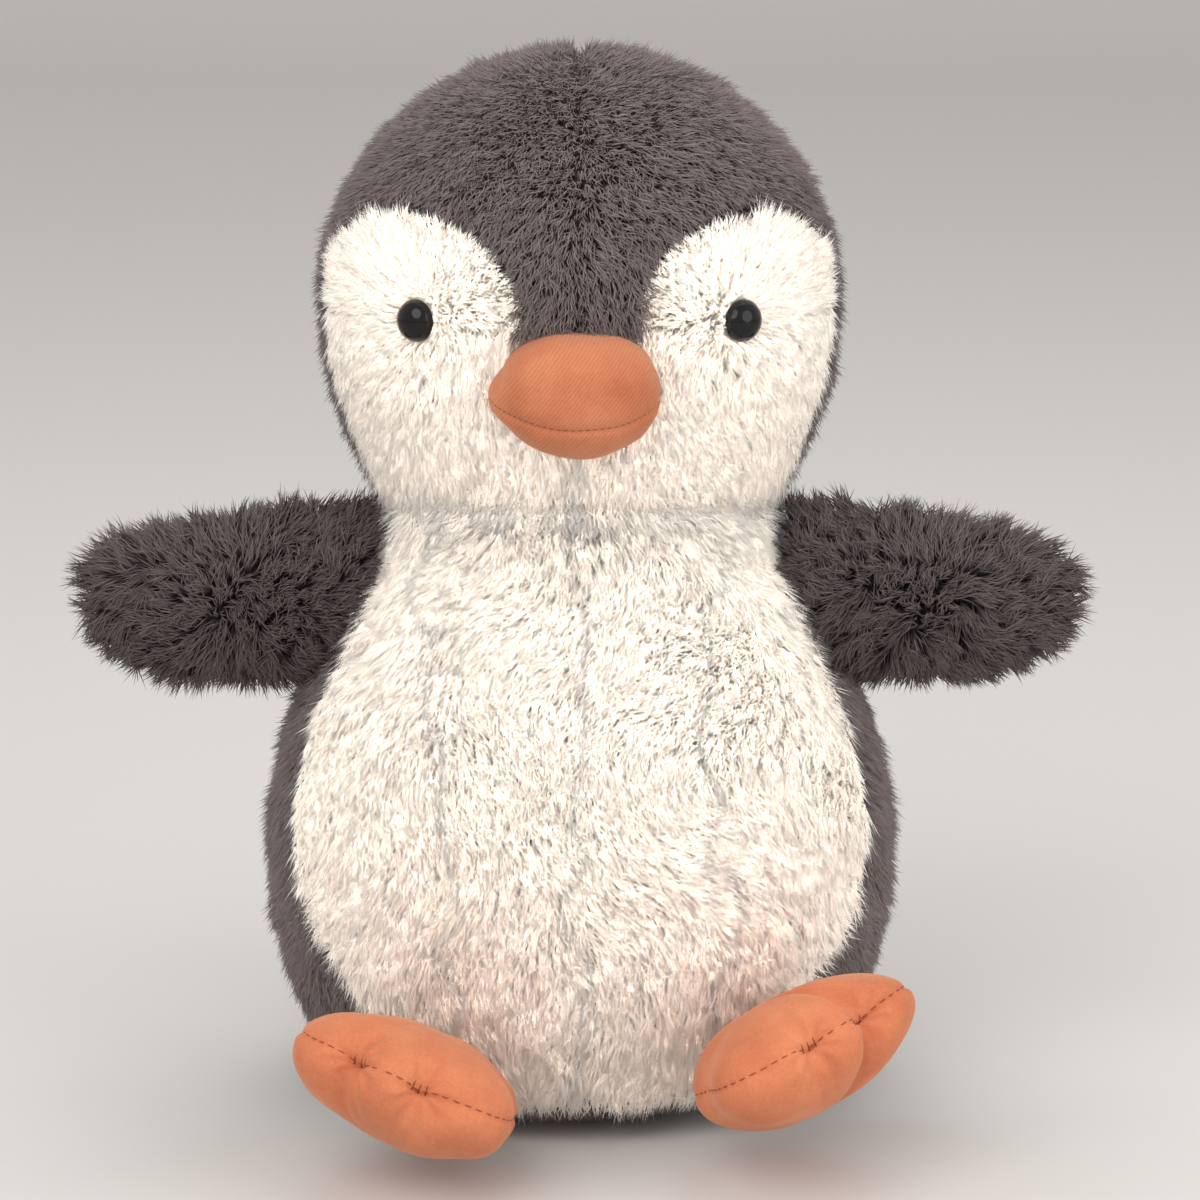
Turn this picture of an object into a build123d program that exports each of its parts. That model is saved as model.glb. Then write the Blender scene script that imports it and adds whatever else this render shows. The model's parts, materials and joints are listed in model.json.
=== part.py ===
"""Sitting plush penguin, about 231 mm tall: head, body, two wings and two feet.

Every fabric panel is a closed solid of backing plus pile. Stuffing, bean pouch and eye posts are
inside. The toy faces -Y, +Z is up, and its own left side is +X. All sizes are in millimetres.
"""

import os

from build123d import *

# ---- driving dimensions -------------------------------------------------------------------------

pile = 6.0  # thickness of a plush panel, backing and pile together
cloth = 1.3  # thickness of the orange suede cloth on the beak and feet
clear = 0.4  # free space between pieces of different bodies

body_half_width = 69.5
body_half_depth = 60.0
base_seam_z = 9.0  # height of the seam round the dark base panel

neck_pivot_z = 121.0  # the head tips and turns about this point on the centre line
neck_radius = 44.7  # the body ends in a ball of this radius about the pivot
ball_start_z = neck_pivot_z + 5  # the body turns into the ball at this height
neck_seam_z = neck_pivot_z + 15  # lowest edge of the head's panels
collar_top_z = neck_pivot_z + 25  # the body's panels run up inside the head to here

head_centre_z = neck_pivot_z + 54.5
head_half_width = 57.0
head_half_depth = 52.0
head_rise = 55.0  # from the widest level to the top of the head
head_drop = 66.0  # the lower half's own depth, before the neck cuts it off
face_seam_y = -11.0  # the white face panels end just in front of the widest section
crown_seam_y = 12.0  # the front cap meets the back of the head here

stand_y = 18.9  # moves the body back, so that the outer box is centred over the origin

reach = 300.0  # longer than anything here, for cutting
margin = 1.0  # a cutting shape goes this far past the surface it cuts
sides = ((1, "left"), (-1, "right"))  # the toy's own left is +X

# The body's oval sections from the floor to the neck: height, and share of the full width and depth.
body_sections = [
    (0.0, 0.58, 0.56),
    (base_seam_z, 0.79, 0.78),
    (22.0, 0.91, 0.90),
    (38.0, 0.98, 0.98),
    (55.0, 1.0, 1.0),
    (75.0, 0.965, 0.97),
    (94.0, 0.87, 0.895),
    (111.0, 0.745, 0.80),
]

# The white belly's edge on the toy's left, seen from the front: distance from the centre, height.
belly_edge = [(20.0, 4.0), (49.5, 32.0), (63.5, 61.0), (54.0, 99.0), (44.5, 120.0), (41.0, 150.0)]


# ---- helpers ------------------------------------------------------------------------------------


def ellipsoid(half_x, half_y, half_z):
    return scale(Sphere(1), by=(half_x, half_y, half_z))


def above(z):
    """Everything higher than z."""
    return Pos(0, 0, z + reach) * Box(2 * reach, 2 * reach, 2 * reach)


def below(z):
    return Pos(0, 0, z - reach) * Box(2 * reach, 2 * reach, 2 * reach)


def behind(y):
    """Everything further back than y."""
    return Pos(0, y + reach, 0) * Box(2 * reach, 2 * reach, 2 * reach)


def in_front(y):
    return Pos(0, y - reach, 0) * Box(2 * reach, 2 * reach, 2 * reach)


def half(side):
    """Everything on one side of the centre plane: +1 is the toy's left, -1 its right."""
    return Pos(side * reach, 0, 0) * Box(2 * reach, 2 * reach, 2 * reach)


def save(name, shape):
    """Write one node, moved so that the whole toy is centred over the origin."""
    shape = Pos(0, stand_y, 0) * shape
    shape.label = name
    export_step(shape, f"parts/{name}.step")


# ---- body ---------------------------------------------------------------------------------------


def neck_ball(radius):
    return Pos(0, 0, neck_pivot_z) * Sphere(radius)


def body_form(inset):
    """The pear-shaped body with the ball of its neck, shrunk all round by inset."""
    rings = []
    for z, width, depth in body_sections:
        level = max(z, inset)
        ring = Ellipse(body_half_width * width - inset, body_half_depth * depth - inset)
        rings.append(Pos(0, 0, level) * ring)
    neck_ring = ((neck_radius - inset) ** 2 - (ball_start_z - neck_pivot_z) ** 2) ** 0.5
    rings.append(Pos(0, 0, ball_start_z) * Circle(neck_ring))
    return loft(rings) + (neck_ball(neck_radius - inset) & above(ball_start_z))


def belly_outline():
    """The belly's outline, carried back from the front of the toy to its widest section."""
    left = [Vector(x, 0, z) for x, z in belly_edge]
    right = [Vector(-x, 0, z) for x, z in reversed(belly_edge)]
    edges = [Spline(left), Line(left[-1], right[0]), Spline(right), Line(right[-1], left[0])]
    return extrude(make_face(edges), amount=reach, dir=(0, -1, 0))


pouch_size = (36.0, 31.0, 17.0)
pouch_z = 27.0
pouch_cloth = 0.8
pellet_level_z = 36.0  # the pellets fill the pouch up to here

label_size = (16.0, 0.7, 24.0)
label_place = (18.0, 53.6, 21.0)
label_lean = -22.0
label_turn = -14.7

wad_bottom_z = neck_pivot_z + 34  # the wad of fibre in the neck lies above this level
wad_thickness = 5.6


def make_body():
    outer = body_form(0)
    inner = body_form(pile)
    skin = (outer - inner) & below(collar_top_z)
    belly = belly_outline()
    wall = skin & above(base_seam_z)
    save("base_panel", skin & below(base_seam_z))
    save("belly_panel", wall & belly)
    back = wall - belly
    save("back_left", back & half(1))
    save("back_right", back & half(-1))

    half_x, half_y, half_z = pouch_size
    pouch = Pos(0, 0, pouch_z) * ellipsoid(half_x, half_y, half_z)
    bag = ellipsoid(half_x - pouch_cloth, half_y - pouch_cloth, half_z - pouch_cloth)
    inside = Pos(0, 0, pouch_z) * bag
    save("pellet_pouch", pouch - inside)
    save("pellets", inside & below(pellet_level_z))

    socket = neck_ball(neck_radius + margin) - neck_ball(neck_radius - wad_thickness - clear)
    save("body_filling", inner - pouch - (socket & above(collar_top_z)))
    wad = neck_ball(neck_radius) - neck_ball(neck_radius - wad_thickness)
    save("neck_filling", wad & above(wad_bottom_z))
    label = Pos(*label_place) * Rot(0, 0, label_turn) * Rot(label_lean, 0, 0)
    save("care_label", label * Box(*label_size))


# ---- head ---------------------------------------------------------------------------------------

lobe_x = 36.0  # each white cheek rises to a round lobe about this point
lobe_z = head_centre_z - 1
lobe_half_width = 22.0
lobe_half_height = 23.0

beak_z = head_centre_z - 13
beak_y = -50.0
beak_size = (17.8, 15.5, 12.6)
beak_seam_slope = 20.0  # the mouth seam falls towards the tip
beak_seam_z = beak_z - 0.5

eye_x = 36.5
eye_z = head_centre_z + 0.5
eye_radius = 4.5
eye_height = 3.4  # of the dome over its flange
eye_depth = 4.5  # the flange lies this far under the tips of the pile
post_radius = 2.0
post_length = 13.0
washer_radius = 7.0
washer_thickness = 1.8
washer_gap = 2.0  # cloth held between the dome and the washer
eye_gap = 0.3


def head_form(inset):
    """The round head, a little flatter under its widest level than over it."""
    half_x = head_half_width - inset
    half_y = head_half_depth - inset
    top = ellipsoid(half_x, half_y, head_rise - inset) & above(0)
    bottom = ellipsoid(half_x, half_y, head_drop - inset) & below(0)
    return (Pos(0, 0, head_centre_z) * (top + bottom)) & above(neck_seam_z)


def face_outline():
    """Both cheek lobes and the lower face, carried back to the face seam."""
    flat = Rectangle(2 * reach, reach, align=(Align.CENTER, Align.MAX))
    front = Pos(0, lobe_z) * flat
    for side in (1, -1):
        front += Pos(side * lobe_x, lobe_z) * Ellipse(lobe_half_width, lobe_half_height)
    upright = Plane.XZ * front
    return extrude(upright, amount=reach, dir=(0, -1, 0)) & in_front(face_seam_y)


def beak_form(inset):
    half_x, half_y, half_z = (size - inset for size in beak_size)
    return Pos(0, beak_y, beak_z) * ellipsoid(half_x, half_y, half_z)


def eye_place(side):
    """Where the eye's flange lies, with local +Z pointing out of the head."""
    drop = (eye_z - head_centre_z) / head_rise
    across = eye_x / head_half_width
    y = -head_half_depth * (1 - drop**2 - across**2) ** 0.5
    outward = Vector(side * across / head_half_width, y / head_half_depth**2, drop / head_rise)
    spot = Vector(side * eye_x, y, eye_z) - outward.normalized() * eye_depth
    return Plane(origin=spot, z_dir=outward)


def make_eye(side):
    """The dome with its post, the lock washer, and the holes they need in skin and stuffing."""
    place = eye_place(side)
    outwards = (Align.CENTER, Align.CENTER, Align.MIN)
    inwards = (Align.CENTER, Align.CENTER, Align.MAX)
    dome = ellipsoid(eye_radius, eye_radius, eye_height) & above(0)
    eye = dome + Cylinder(post_radius, post_length, align=inwards)
    washer = Cylinder(washer_radius, washer_thickness) - Cylinder(post_radius, reach)
    washer = Pos(0, 0, -washer_gap - washer_thickness / 2) * washer

    post_hole = Cylinder(post_radius + eye_gap, post_length + eye_gap, align=inwards)
    skin_hole = post_hole + Cylinder(eye_radius + eye_gap, 2 * eye_depth, align=outwards)
    room = Cylinder(washer_radius + eye_gap, washer_gap + washer_thickness, align=inwards)
    room = Pos(0, 0, -eye_gap) * room
    return place * eye, place * washer, place * skin_hole, place * (post_hole + room)


def make_head():
    outer = head_form(0)
    inner = head_form(pile)
    cup = neck_ball(neck_radius + clear)
    beak = beak_form(0)
    skin = outer - inner - cup
    filling = inner - cup
    for side, name in sides:
        eye, washer, skin_hole, stuffing_hole = make_eye(side)
        save(f"eye_{name}", eye)
        save(f"eye_washer_{name}", washer)
        skin = skin - skin_hole
        filling = filling - stuffing_hole
    save("head_filling", filling)

    face = skin & face_outline()
    dark = skin - face_outline()
    crown = dark & in_front(crown_seam_y)
    nape = dark & behind(crown_seam_y)
    for side, name in sides:
        save(f"face_{name}", face & half(side))
        save(f"crown_{name}", crown & half(side))
        save(f"head_back_{name}", nape & half(side))

    cover = beak - beak_form(cloth) - outer
    slope = Pos(0, beak_y, beak_seam_z) * Rot(beak_seam_slope, 0, 0)
    save("beak_upper", cover & (slope * above(0)))
    save("beak_lower", cover & (slope * below(0)))
    save("beak_filling", beak_form(cloth) - outer)


# ---- wings --------------------------------------------------------------------------------------

wing_root = (68.3, -8.0, 113.5)  # the left wing swings and lifts about this point
wing_root_radius = 15.0
wing_half_height = 19.0
wing_length = 40.5  # from the pivot to the tip
wing_flatness = 0.5  # thickness over height
wing_widest = 0.42  # where the wing is highest, as a share of its length
wing_shoulder = (0.86, 0.7)  # a point of the outline near the tip, as shares of length and half height
wing_droop = 3.0

seam_radius = 3.5  # the bunched seam allowance inside the wing's root
seam_width = 3.0


def wing_profile(inset):
    """Half the paddle's outline, along +X from a round root about the origin to the tip."""
    root = wing_root_radius - inset
    widest = wing_half_height - inset
    tip = wing_length - inset
    along, up = wing_shoulder
    points = [(0, root), (wing_widest * tip, widest), (along * tip, up * widest), (tip, 0)]
    crest = Spline(points, tangents=[(1, 0.25), (0, -1)])
    root_arc = RadiusArc((-root, 0), (0, root), root)
    return make_face([root_arc, crest, Line((-root, 0), (tip, 0))])


def flatten(shape):
    """Turn a body of revolution about X into a flat paddle."""
    return scale(shape, by=(1, wing_flatness, 1))


def make_wings():
    upright = Plane.XZ
    half_skin = upright * (wing_profile(0) - wing_profile(pile))
    front = revolve(half_skin, Axis.X, 180)
    back = revolve(half_skin, Axis.X, -180)
    pocket = Cylinder(seam_radius + clear, (seam_width + 2 * clear) / wing_flatness)
    filling = revolve(upright * wing_profile(pile), Axis.X) - Rot(90, 0, 0) * pocket
    for side, name in sides:
        x, y, z = wing_root
        place = Pos(side * x, y, z) * Rot(0, side * wing_droop, 0)
        mirror_x = Rot(0, 0, 0 if side > 0 else 180)
        front_half, back_half = (front, back) if side > 0 else (back, front)
        save(f"wing_{name}_front", place * mirror_x * flatten(front_half))
        save(f"wing_{name}_back", place * mirror_x * flatten(back_half))
        save(f"wing_{name}_filling", place * mirror_x * flatten(filling))
        seam = Rot(90, 0, 0) * Cylinder(seam_radius, seam_width)
        save(f"wing_{name}_root_seam", place * seam)


# ---- feet ---------------------------------------------------------------------------------------

pad_radius = 21.0
pad_forward = 15.5  # from the heel's hinge line to the middle of the pad
toe_radius = 12.0
toe_spread = 13.0
toe_forward = 29.0
middle_toe_forward = 32.0
foot_flatness = 0.58
foot_seam_z = 2.0  # the seam round the rim lies above the middle of the thickness
stitch_forward = 34.0  # the thread loops pass through the rim here
stitch_ring = 6.0
stitch_thread = 0.6

# Each foot's heel hinge point, how far it turns out, how far its toes point up, and its roll.
foot_pose = {
    "left": ((36.3, -52.8, 18.5), 28.0, 26.0, -18.0),
    "right": ((-28.8, -55.5, 15.0), -16.0, 20.0, 18.0),
}


def foot_form(inset):
    """A padded foot along -Y with three toes, its hinge line along X through the origin."""
    form = Pos(0, -pad_forward, 0) * Sphere(pad_radius - inset)
    for x in (-toe_spread, 0, toe_spread):
        forward = toe_forward if x else middle_toe_forward
        form += Pos(x, -forward, 0) * Sphere(toe_radius - inset)
    return scale(form, by=(1, 1, foot_flatness))


def toe_stitches():
    """Two thread loops that pull the rim in between the toes."""
    loops = []
    for x in (-toe_spread / 2, toe_spread / 2):
        loop = Torus(stitch_ring, stitch_thread)
        loops.append(Pos(x, -stitch_forward, 0) * Rot(0, 90, 0) * loop)
    return Compound(children=loops)


def make_feet():
    for name, (heel, turned_out, toes_up, roll) in foot_pose.items():
        place = Pos(*heel) * Rot(0, 0, turned_out) * Rot(-toes_up, 0, 0) * Rot(0, roll, 0)
        outer = foot_form(0)
        inner = foot_form(cloth)
        cover = outer - inner
        save(f"foot_{name}_upper", place * (cover & above(foot_seam_z)))
        save(f"foot_{name}_sole", place * (cover & below(foot_seam_z)))
        save(f"foot_{name}_filling", place * inner)
        save(f"foot_{name}_toe_stitches", place * toe_stitches())


os.makedirs("parts", exist_ok=True)
make_body()
make_head()
make_wings()
make_feet()
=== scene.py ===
"""Looks of the sitting plush penguin: real tufts of pile, stuffed suede feet and beak, glossy eyes."""

import json
from math import cos, pi, radians, sin

import bpy
import numpy as np
from mathutils import Matrix, Vector
from mathutils.bvhtree import BVHTree


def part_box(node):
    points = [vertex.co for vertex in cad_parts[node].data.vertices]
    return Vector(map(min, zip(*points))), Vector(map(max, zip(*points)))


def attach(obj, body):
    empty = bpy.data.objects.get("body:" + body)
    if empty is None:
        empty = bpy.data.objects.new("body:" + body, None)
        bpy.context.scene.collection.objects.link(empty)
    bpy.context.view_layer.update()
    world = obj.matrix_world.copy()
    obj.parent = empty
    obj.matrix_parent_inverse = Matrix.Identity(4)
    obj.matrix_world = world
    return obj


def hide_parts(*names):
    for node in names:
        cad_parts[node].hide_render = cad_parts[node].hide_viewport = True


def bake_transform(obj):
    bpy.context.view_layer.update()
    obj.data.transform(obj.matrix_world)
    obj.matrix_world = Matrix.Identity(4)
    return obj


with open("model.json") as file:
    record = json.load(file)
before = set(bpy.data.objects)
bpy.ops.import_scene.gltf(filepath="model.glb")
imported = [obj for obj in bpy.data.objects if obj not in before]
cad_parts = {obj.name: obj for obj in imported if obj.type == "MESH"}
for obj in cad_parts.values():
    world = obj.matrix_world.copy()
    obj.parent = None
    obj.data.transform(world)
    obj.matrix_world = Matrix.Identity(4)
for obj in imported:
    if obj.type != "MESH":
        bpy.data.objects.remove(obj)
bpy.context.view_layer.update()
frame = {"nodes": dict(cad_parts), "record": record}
nodes = frame["nodes"]
joints = {joint["name"]: joint for joint in frame["record"]["behaviour"]["joints"]}

MM = 0.001
SIDES = ((1, "left"), (-1, "right"))  # the toy's left side is +X

neck_pivot = np.array(joints["head_nod"]["pos_m"])
axis_y = neck_pivot[1]  # the body's centre line stands over this Y
neck_seam_z = neck_pivot[2] + 15 * MM
head_centre = np.array([0, axis_y, neck_pivot[2] + 54.5 * MM])
head_half_width = 57 * MM
head_half_depth = 52 * MM
head_rise = 55 * MM
head_drop = 66 * MM
pile_depth = 5.2 * MM  # the cloth backing lies this far under the tips of the pile
cup_radius = 39.6 * MM  # of the head's hollow underside, about the neck's pivot
floor_gap = 0.3 * MM  # the pile stays this far over the floor
thread_radius = 0.16 * MM

BODY_PANELS = ["base_panel", "belly_panel", "back_left", "back_right"]
HEAD_PANELS = [f"{part}_{side}" for part in ("face", "crown", "head_back") for _, side in SIDES]
WHITE = {"belly_panel", "face_left", "face_right"}


# ---- materials ----


def set_inputs(made, values):
    for key, value in values.items():
        made.inputs[key].default_value = value


def new_material(name, values):
    """A node material with the given inputs of its Principled shader set."""
    material = bpy.data.materials.new(name)
    material.use_nodes = True
    tree = material.node_tree
    shader = tree.nodes["Principled BSDF"]
    set_inputs(shader, values)
    return material, tree, shader


def node(tree, kind, values=None, **settings):
    """A new shader node with its settings made and the given inputs set."""
    made = tree.nodes.new("ShaderNode" + kind)
    for key, value in settings.items():
        setattr(made, key, value)
    set_inputs(made, values or {})
    return made


def noise(tree, place, scale, detail, roughness=0.5):
    made = node(tree, "TexNoise", {"Scale": scale, "Detail": detail, "Roughness": roughness})
    tree.links.new(place, made.inputs["Vector"])
    return made.outputs["Fac"]


def ramp(tree, factor, stops):
    """A colour ramp over (position, colour) stops."""
    made = node(tree, "ValToRGB")
    elements = made.color_ramp.elements
    while len(elements) < len(stops):
        elements.new(0.5)
    for element, (position, colour) in zip(elements, stops):
        element.position = position
        element.color = (*colour, 1)
    tree.links.new(factor, made.inputs["Fac"])
    return made.outputs["Color"]


def colour_by(tree, shader, factor, stops):
    tree.links.new(ramp(tree, factor, stops), shader.inputs["Base Color"])


def bump(tree, shader, height, strength, distance):
    made = node(tree, "Bump", {"Strength": strength, "Distance": distance})
    tree.links.new(height, made.inputs["Height"])
    tree.links.new(made.outputs["Normal"], shader.inputs["Normal"])


def weighted_sum(tree, first, weight, second):
    made = node(tree, "Math", operation="MULTIPLY_ADD")
    tree.links.new(first, made.inputs[0])
    made.inputs[1].default_value = weight
    tree.links.new(second, made.inputs[2])
    return made.outputs[0]


def fur_material(name, root, middle, tip, spread, sheen, roughness):
    """Pile coloured from root to tip, with painted shade deep in the pile: darker, and in the white pile
    warmer, towards the roots. Each tuft has a shade of its own, on the fur's own map.
    """
    sheen_tint = [min(1, 1.6 * c) for c in tip]  # paler than the tips
    values = {
        "Roughness": roughness,
        "Specular IOR Level": 0.3,
        "Sheen Weight": sheen,
        "Sheen Roughness": 0.5,
        "Sheen Tint": (*sheen_tint, 1),
    }
    material, tree, shader = new_material(name, values)
    link = tree.links.new
    where = node(tree, "UVMap", uv_map="OFBake")
    parts = node(tree, "SeparateXYZ")
    link(where.outputs["UV"], parts.inputs[0])
    # painted shade: the root colour stands in for the shade deep in the pile
    along = ramp(tree, parts.outputs["X"], [(0.0, root), (0.5, middle), (1.0, tip)])
    own = node(tree, "TexNoise", {"Scale": 37.0, "Detail": 1.0}, noise_dimensions="1D")
    link(parts.outputs["Y"], own.inputs["W"])
    limits = {"From Min": 0.3, "From Max": 0.7, "To Min": 1 - spread, "To Max": 1 + spread}
    shade = node(tree, "MapRange", limits)
    link(own.outputs["Fac"], shade.inputs["Value"])
    mixed = node(tree, "VectorMath", operation="SCALE")
    link(along, mixed.inputs[0])
    link(shade.outputs["Result"], mixed.inputs["Scale"])
    link(mixed.outputs["Vector"], shader.inputs["Base Color"])
    return material


def knit_material(name, colour, dark, scale=900.0, roughness=0.85):
    """Cloth of small knitted loops with slow changes of shade."""
    material, tree, shader = new_material(name, {"Roughness": roughness, "Sheen Weight": 0.3})
    place = node(tree, "TexCoord").outputs["Object"]
    loops = node(tree, "TexVoronoi", {"Scale": scale})
    tree.links.new(place, loops.inputs["Vector"])
    cloud = noise(tree, place, 60.0, 4.0)
    both = weighted_sum(tree, loops.outputs["Distance"], 0.6, cloud)
    colour_by(tree, shader, both, [(0.3, dark), (0.9, colour)])
    bump(tree, shader, loops.outputs["Distance"], 0.4, 0.4 * MM)
    return material


twill_slant = radians(38)


def twill_ribs(tree, place, scale):
    """Slanted ribs, faded out where the cloth faces along their direction."""
    link = tree.links.new
    turned = node(tree, "Mapping", {"Rotation": (0.0, -twill_slant, 0.0)})
    link(place, turned.inputs["Vector"])
    settings = {"Scale": scale, "Distortion": 1.2, "Detail": 2.0, "Detail Scale": 2.0}
    ribs = node(tree, "TexWave", settings)
    link(turned.outputs["Vector"], ribs.inputs["Vector"])
    rib_way = (cos(twill_slant), 0.0, -sin(twill_slant))
    edge_on = node(tree, "VectorMath", {1: rib_way}, operation="DOT_PRODUCT")
    link(node(tree, "TexCoord").outputs["Normal"], edge_on.inputs[0])
    size = node(tree, "Math", operation="ABSOLUTE")
    link(edge_on.outputs["Value"], size.inputs[0])
    limits = {"From Min": 0.7, "From Max": 0.9, "To Min": 1.0, "To Max": 0.0}
    fade = node(tree, "MapRange", limits)
    link(size.outputs[0], fade.inputs["Value"])
    seen = node(tree, "Math", operation="MULTIPLY")
    link(ribs.outputs["Fac"], seen.inputs[0])
    link(fade.outputs["Result"], seen.inputs[1])
    return seen.outputs[0]


def suede_material(name, rib_scale, rib_weight, brightness):
    """Orange brushed cloth: twill ribs under a short nap, paler where the nap is rubbed."""
    values = {
        "Roughness": 0.9,
        "Specular IOR Level": 0.2,
        "Sheen Weight": 0.35,
        "Sheen Roughness": 0.4,
        "Sheen Tint": (1.0, 0.7, 0.5, 1),
    }
    material, tree, shader = new_material(name, values)
    place = node(tree, "TexCoord").outputs["Object"]
    ribs = twill_ribs(tree, place, rib_scale)
    nap = noise(tree, place, 1500.0, 6.0, 0.7)
    rubbed = noise(tree, place, 65.0, 5.0, 0.6)
    weave = weighted_sum(tree, ribs, rib_weight, nap)
    tone = weighted_sum(tree, weave, 0.55, rubbed)
    shallow = node(tree, "MapRange", {"From Min": 0.45, "From Max": 1.2})
    tree.links.new(tone, shallow.inputs["Value"])
    shades = [(0.0, (0.46, 0.132, 0.062)), (0.5, (0.61, 0.198, 0.095)), (1.0, (0.72, 0.285, 0.145))]
    stops = [(position, [c * brightness for c in colour]) for position, colour in shades]
    colour_by(tree, shader, shallow.outputs["Result"], stops)
    bump(tree, shader, weave, 0.55, 0.2 * MM)
    return material


def thread_material(name, colour):
    """Twisted thread, with the twist as a fine slanted wave."""
    material, tree, shader = new_material(name, {"Roughness": 0.7})
    place = node(tree, "TexCoord").outputs["Object"]
    twist = node(tree, "TexWave", {"Scale": 900.0, "Distortion": 2.0})
    tree.links.new(place, twist.inputs["Vector"])
    dark = tuple(c * 0.6 for c in colour)
    colour_by(tree, shader, twist.outputs["Fac"], [(0.0, dark), (1.0, colour)])
    bump(tree, shader, twist.outputs["Fac"], 0.6, 0.1 * MM)
    return material


def plastic_material(name, colour, roughness, marks, bend=1.5):
    """Moulded plastic whose gloss varies a little with handling; bend is its index of refraction."""
    material, tree, shader = new_material(name, {"IOR": bend})
    place = node(tree, "TexCoord").outputs["Object"]
    cloud = noise(tree, place, marks, 5.0)
    worn = node(tree, "MapRange", {"To Min": roughness * 0.7, "To Max": roughness * 1.5})
    tree.links.new(cloud, worn.inputs["Value"])
    tree.links.new(worn.outputs["Result"], shader.inputs["Roughness"])
    pale = tuple(min(1, c * 1.25 + 0.002) for c in colour)
    colour_by(tree, shader, cloud, [(0.3, colour), (0.75, pale)])
    return material


def soften_light(material, radius, scale):
    """Let light wander a little from tuft to tuft, as it does in pale pile."""
    shader = material.node_tree.nodes["Principled BSDF"]
    shader.subsurface_method = "BURLEY"
    values = {"Subsurface Weight": 1.0, "Subsurface Radius": radius, "Subsurface Scale": scale}
    set_inputs(shader, values)


# The root colours below, darker than the tips and warmer in the white pile, are painted shade deep in the
# pile.
DARK_FUR = fur_material(
    "dark_fur", (0.065, 0.052, 0.052), (0.165, 0.134, 0.132), (0.31, 0.255, 0.25), 0.22, 0.3, 0.6
)
WING_FUR = fur_material(
    "wing_fur", (0.025, 0.018, 0.018), (0.065, 0.050, 0.050), (0.17, 0.138, 0.136), 0.35, 0.3, 0.6
)
WHITE_FUR = fur_material(
    "white_fur", (0.95, 0.87, 0.78), (0.95, 0.89, 0.825), (0.95, 0.905, 0.86), 0.015, 0.1, 0.8
)
soften_light(WHITE_FUR, (1.0, 0.88, 0.76), 1.6 * MM)
DARK_CLOTH = knit_material("dark_backing", (0.06, 0.05, 0.05), (0.03, 0.025, 0.025))
WHITE_CLOTH = knit_material("white_backing", (0.93, 0.86, 0.74), (0.88, 0.78, 0.64))
soften_light(WHITE_CLOTH, (1.0, 0.85, 0.65), 1.6 * MM)
SUEDE = suede_material("orange_suede", 700.0, 0.0, 1.02)
TWILL = suede_material("orange_twill", 440.0, 0.4, 0.84)
THREAD = thread_material("orange_thread", (0.36, 0.085, 0.04))
FIBRE = knit_material("fibre_fill", (0.9, 0.9, 0.89), (0.6, 0.6, 0.6), scale=300.0)
EYE = plastic_material("eye_gloss", (0.004, 0.004, 0.005), 0.05, 300.0, bend=1.36)


# ---- meshes ----


def add_object(name, data):
    made = bpy.data.objects.new(name, data)
    bpy.context.collection.objects.link(made)
    return made


def make_piece(name, points, faces, materials):
    """A smooth mesh object from points and faces."""
    mesh = bpy.data.meshes.new(name)
    mesh.from_pydata([tuple(p) for p in points], [], [tuple(int(i) for i in f) for f in faces])
    for material in materials:
        mesh.materials.append(material)
    mesh.shade_smooth()
    return add_object(name, mesh)


def unit(vectors):
    return vectors / np.maximum(np.linalg.norm(vectors, axis=-1, keepdims=True), 1e-9)


def turns(columns):
    """Angles once round."""
    return 2 * pi * np.arange(columns) / columns


def rises(rows):
    """Angles from just over the lower pole to just under the upper one, as a column."""
    return np.linspace(-pi / 2 + 0.02, pi / 2 - 0.02, rows)[:, None]


def bell(distance, width):
    return np.exp(-((distance / width) ** 2))


def waves(points, wavelength, seed, count=7):
    """Smooth noise from -1 to 1 over space."""
    rng = np.random.default_rng(seed)
    total = np.zeros(points.shape[:-1])
    for _ in range(count):
        way = unit(rng.normal(size=3)) * 2 * pi / (wavelength * rng.uniform(0.7, 1.5))
        total += np.sin(points @ way + rng.uniform(0, 2 * pi))
    usual_peak = 0.55 * count
    return np.clip(total / usual_peak, -1, 1)


def smooth_grid(grid, passes):
    """Even out a closed grid of points, keeping its first and last rows."""
    own, beside, along = 0.4, 0.3, 0.15  # weights of a point and its neighbours
    for _ in range(passes):
        around = (np.roll(grid, 1, 1) + np.roll(grid, -1, 1)) / 2
        grid[1:-1] = own * grid[1:-1] + beside * around[1:-1] + along * (grid[2:] + grid[:-2])
    return grid


def grid_normals(grid):
    """Outward normals of a closed grid whose columns run anticlockwise about its rows' direction."""
    across = np.roll(grid, -1, 1) - np.roll(grid, 1, 1)
    along = np.gradient(grid, axis=0)
    return unit(np.cross(across, along))


def closed_skin(name, grid, materials):
    """The grid as a closed piece, with a point at each end."""
    rows, columns = grid.shape[:2]
    points = np.concatenate([grid.reshape(-1, 3), grid[0].mean(0)[None], grid[-1].mean(0)[None]])
    row = np.arange(rows - 1)[:, None] * columns
    column = np.arange(columns)[None, :]
    after = (column + 1) % columns
    quads = np.stack([row + column, row + after, row + columns + after, row + columns + column], -1)
    low, high = rows * columns, rows * columns + 1
    last = (rows - 1) * columns
    caps = [(low, (i + 1) % columns, i) for i in range(columns)]
    caps += [(high, last + i, last + (i + 1) % columns) for i in range(columns)]
    return make_piece(name, points, [tuple(q) for q in quads.reshape(-1, 4)] + caps, materials)


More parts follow.
